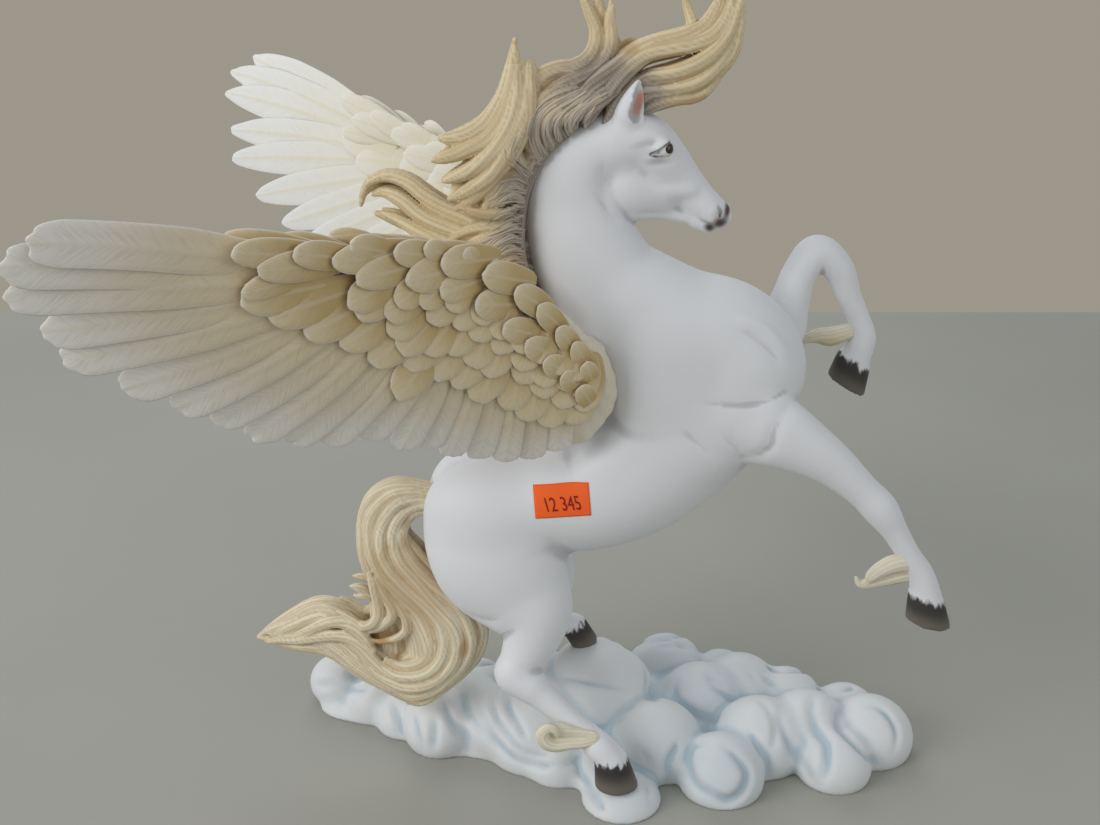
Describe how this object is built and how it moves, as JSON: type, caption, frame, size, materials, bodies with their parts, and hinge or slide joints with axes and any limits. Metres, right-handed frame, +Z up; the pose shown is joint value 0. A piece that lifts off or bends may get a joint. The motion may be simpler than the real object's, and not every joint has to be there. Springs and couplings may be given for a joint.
{
  "type": "winged horse figurine",
  "caption": "Cast figurine of a rearing winged horse with windblown mane and tail, standing on its hind hooves on a cloud base with a flat underside.",
  "frame": {"origin": "point on the flat underside of the cloud base, below the horse's middle", "axes": "+Z up, square to the underside; +X the way the horse faces; -Y the horse's right side, which the picture shows"},
  "size_m": [0.2926, 0.2292, 0.2998],
  "materials": {
    "white_bisque": "matt white bisque, hand painted",
    "near_wing_cream": "matt cream with an ochre wash in the recesses",
    "far_wing_ivory": "matt ivory, paler at the tips",
    "mane_gold": "matt pale gold with grey-brown roots",
    "tail_gold": "matt pale gold",
    "cloud_white": "matt white with a pale blue wash in the recesses",
    "label_orange": "fluorescent orange paper"
  },
  "bodies": {
    "root": {"horse_body": "white_bisque", "right_wing": "near_wing_cream", "left_wing": "far_wing_ivory", "mane": "mane_gold", "tail": "tail_gold", "cloud_base": "cloud_white", "price_label": "label_orange"}
  },
  "joints": []
}
